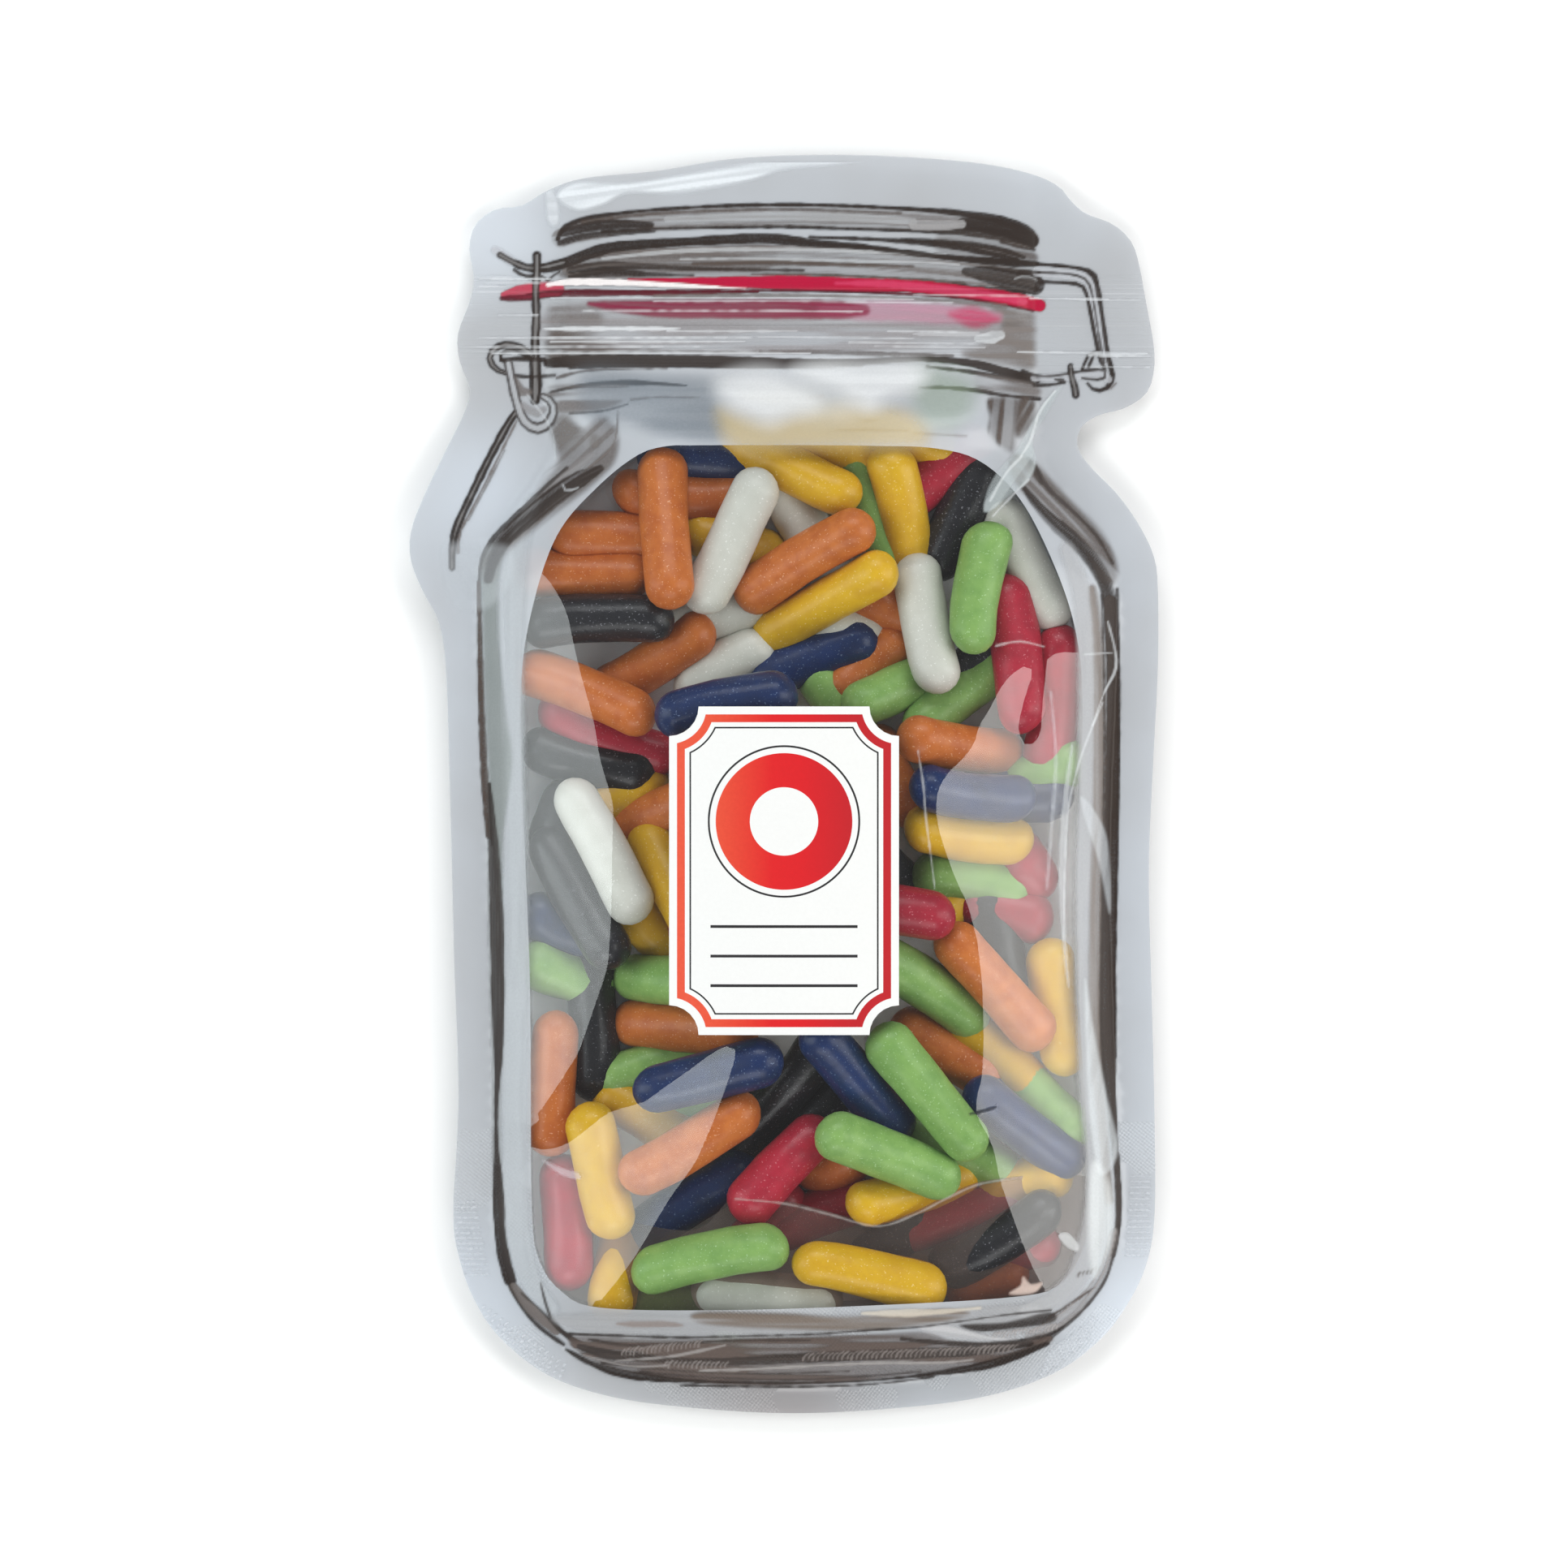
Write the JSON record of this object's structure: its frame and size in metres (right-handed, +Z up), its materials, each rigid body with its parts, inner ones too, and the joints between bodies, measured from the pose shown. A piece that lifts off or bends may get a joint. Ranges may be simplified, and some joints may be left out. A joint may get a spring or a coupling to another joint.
{
  "type": "filled zip pouch",
  "caption": "Jar-shaped zip pouch of clear film, filled with coloured sugar-coated liquorice sticks and lying on its back, with a plain label on the front.",
  "frame": {"origin": "middle of the part's outline, at the height of the flat back that it lies on", "axes": "+Y along the pouch towards its mouth, +X to the right seen from the front, +Z up out of the printed front"},
  "size_m": [0.1153, 0.194, 0.0233],
  "materials": {
    "film": "clear and frosted printed film",
    "zip": "translucent",
    "label": "satin"
  },
  "bodies": {
    "root": {"pouch": "film", "zip_channel": "zip", "zip_rib": "zip", "label": "label"}
  },
  "joints": []
}
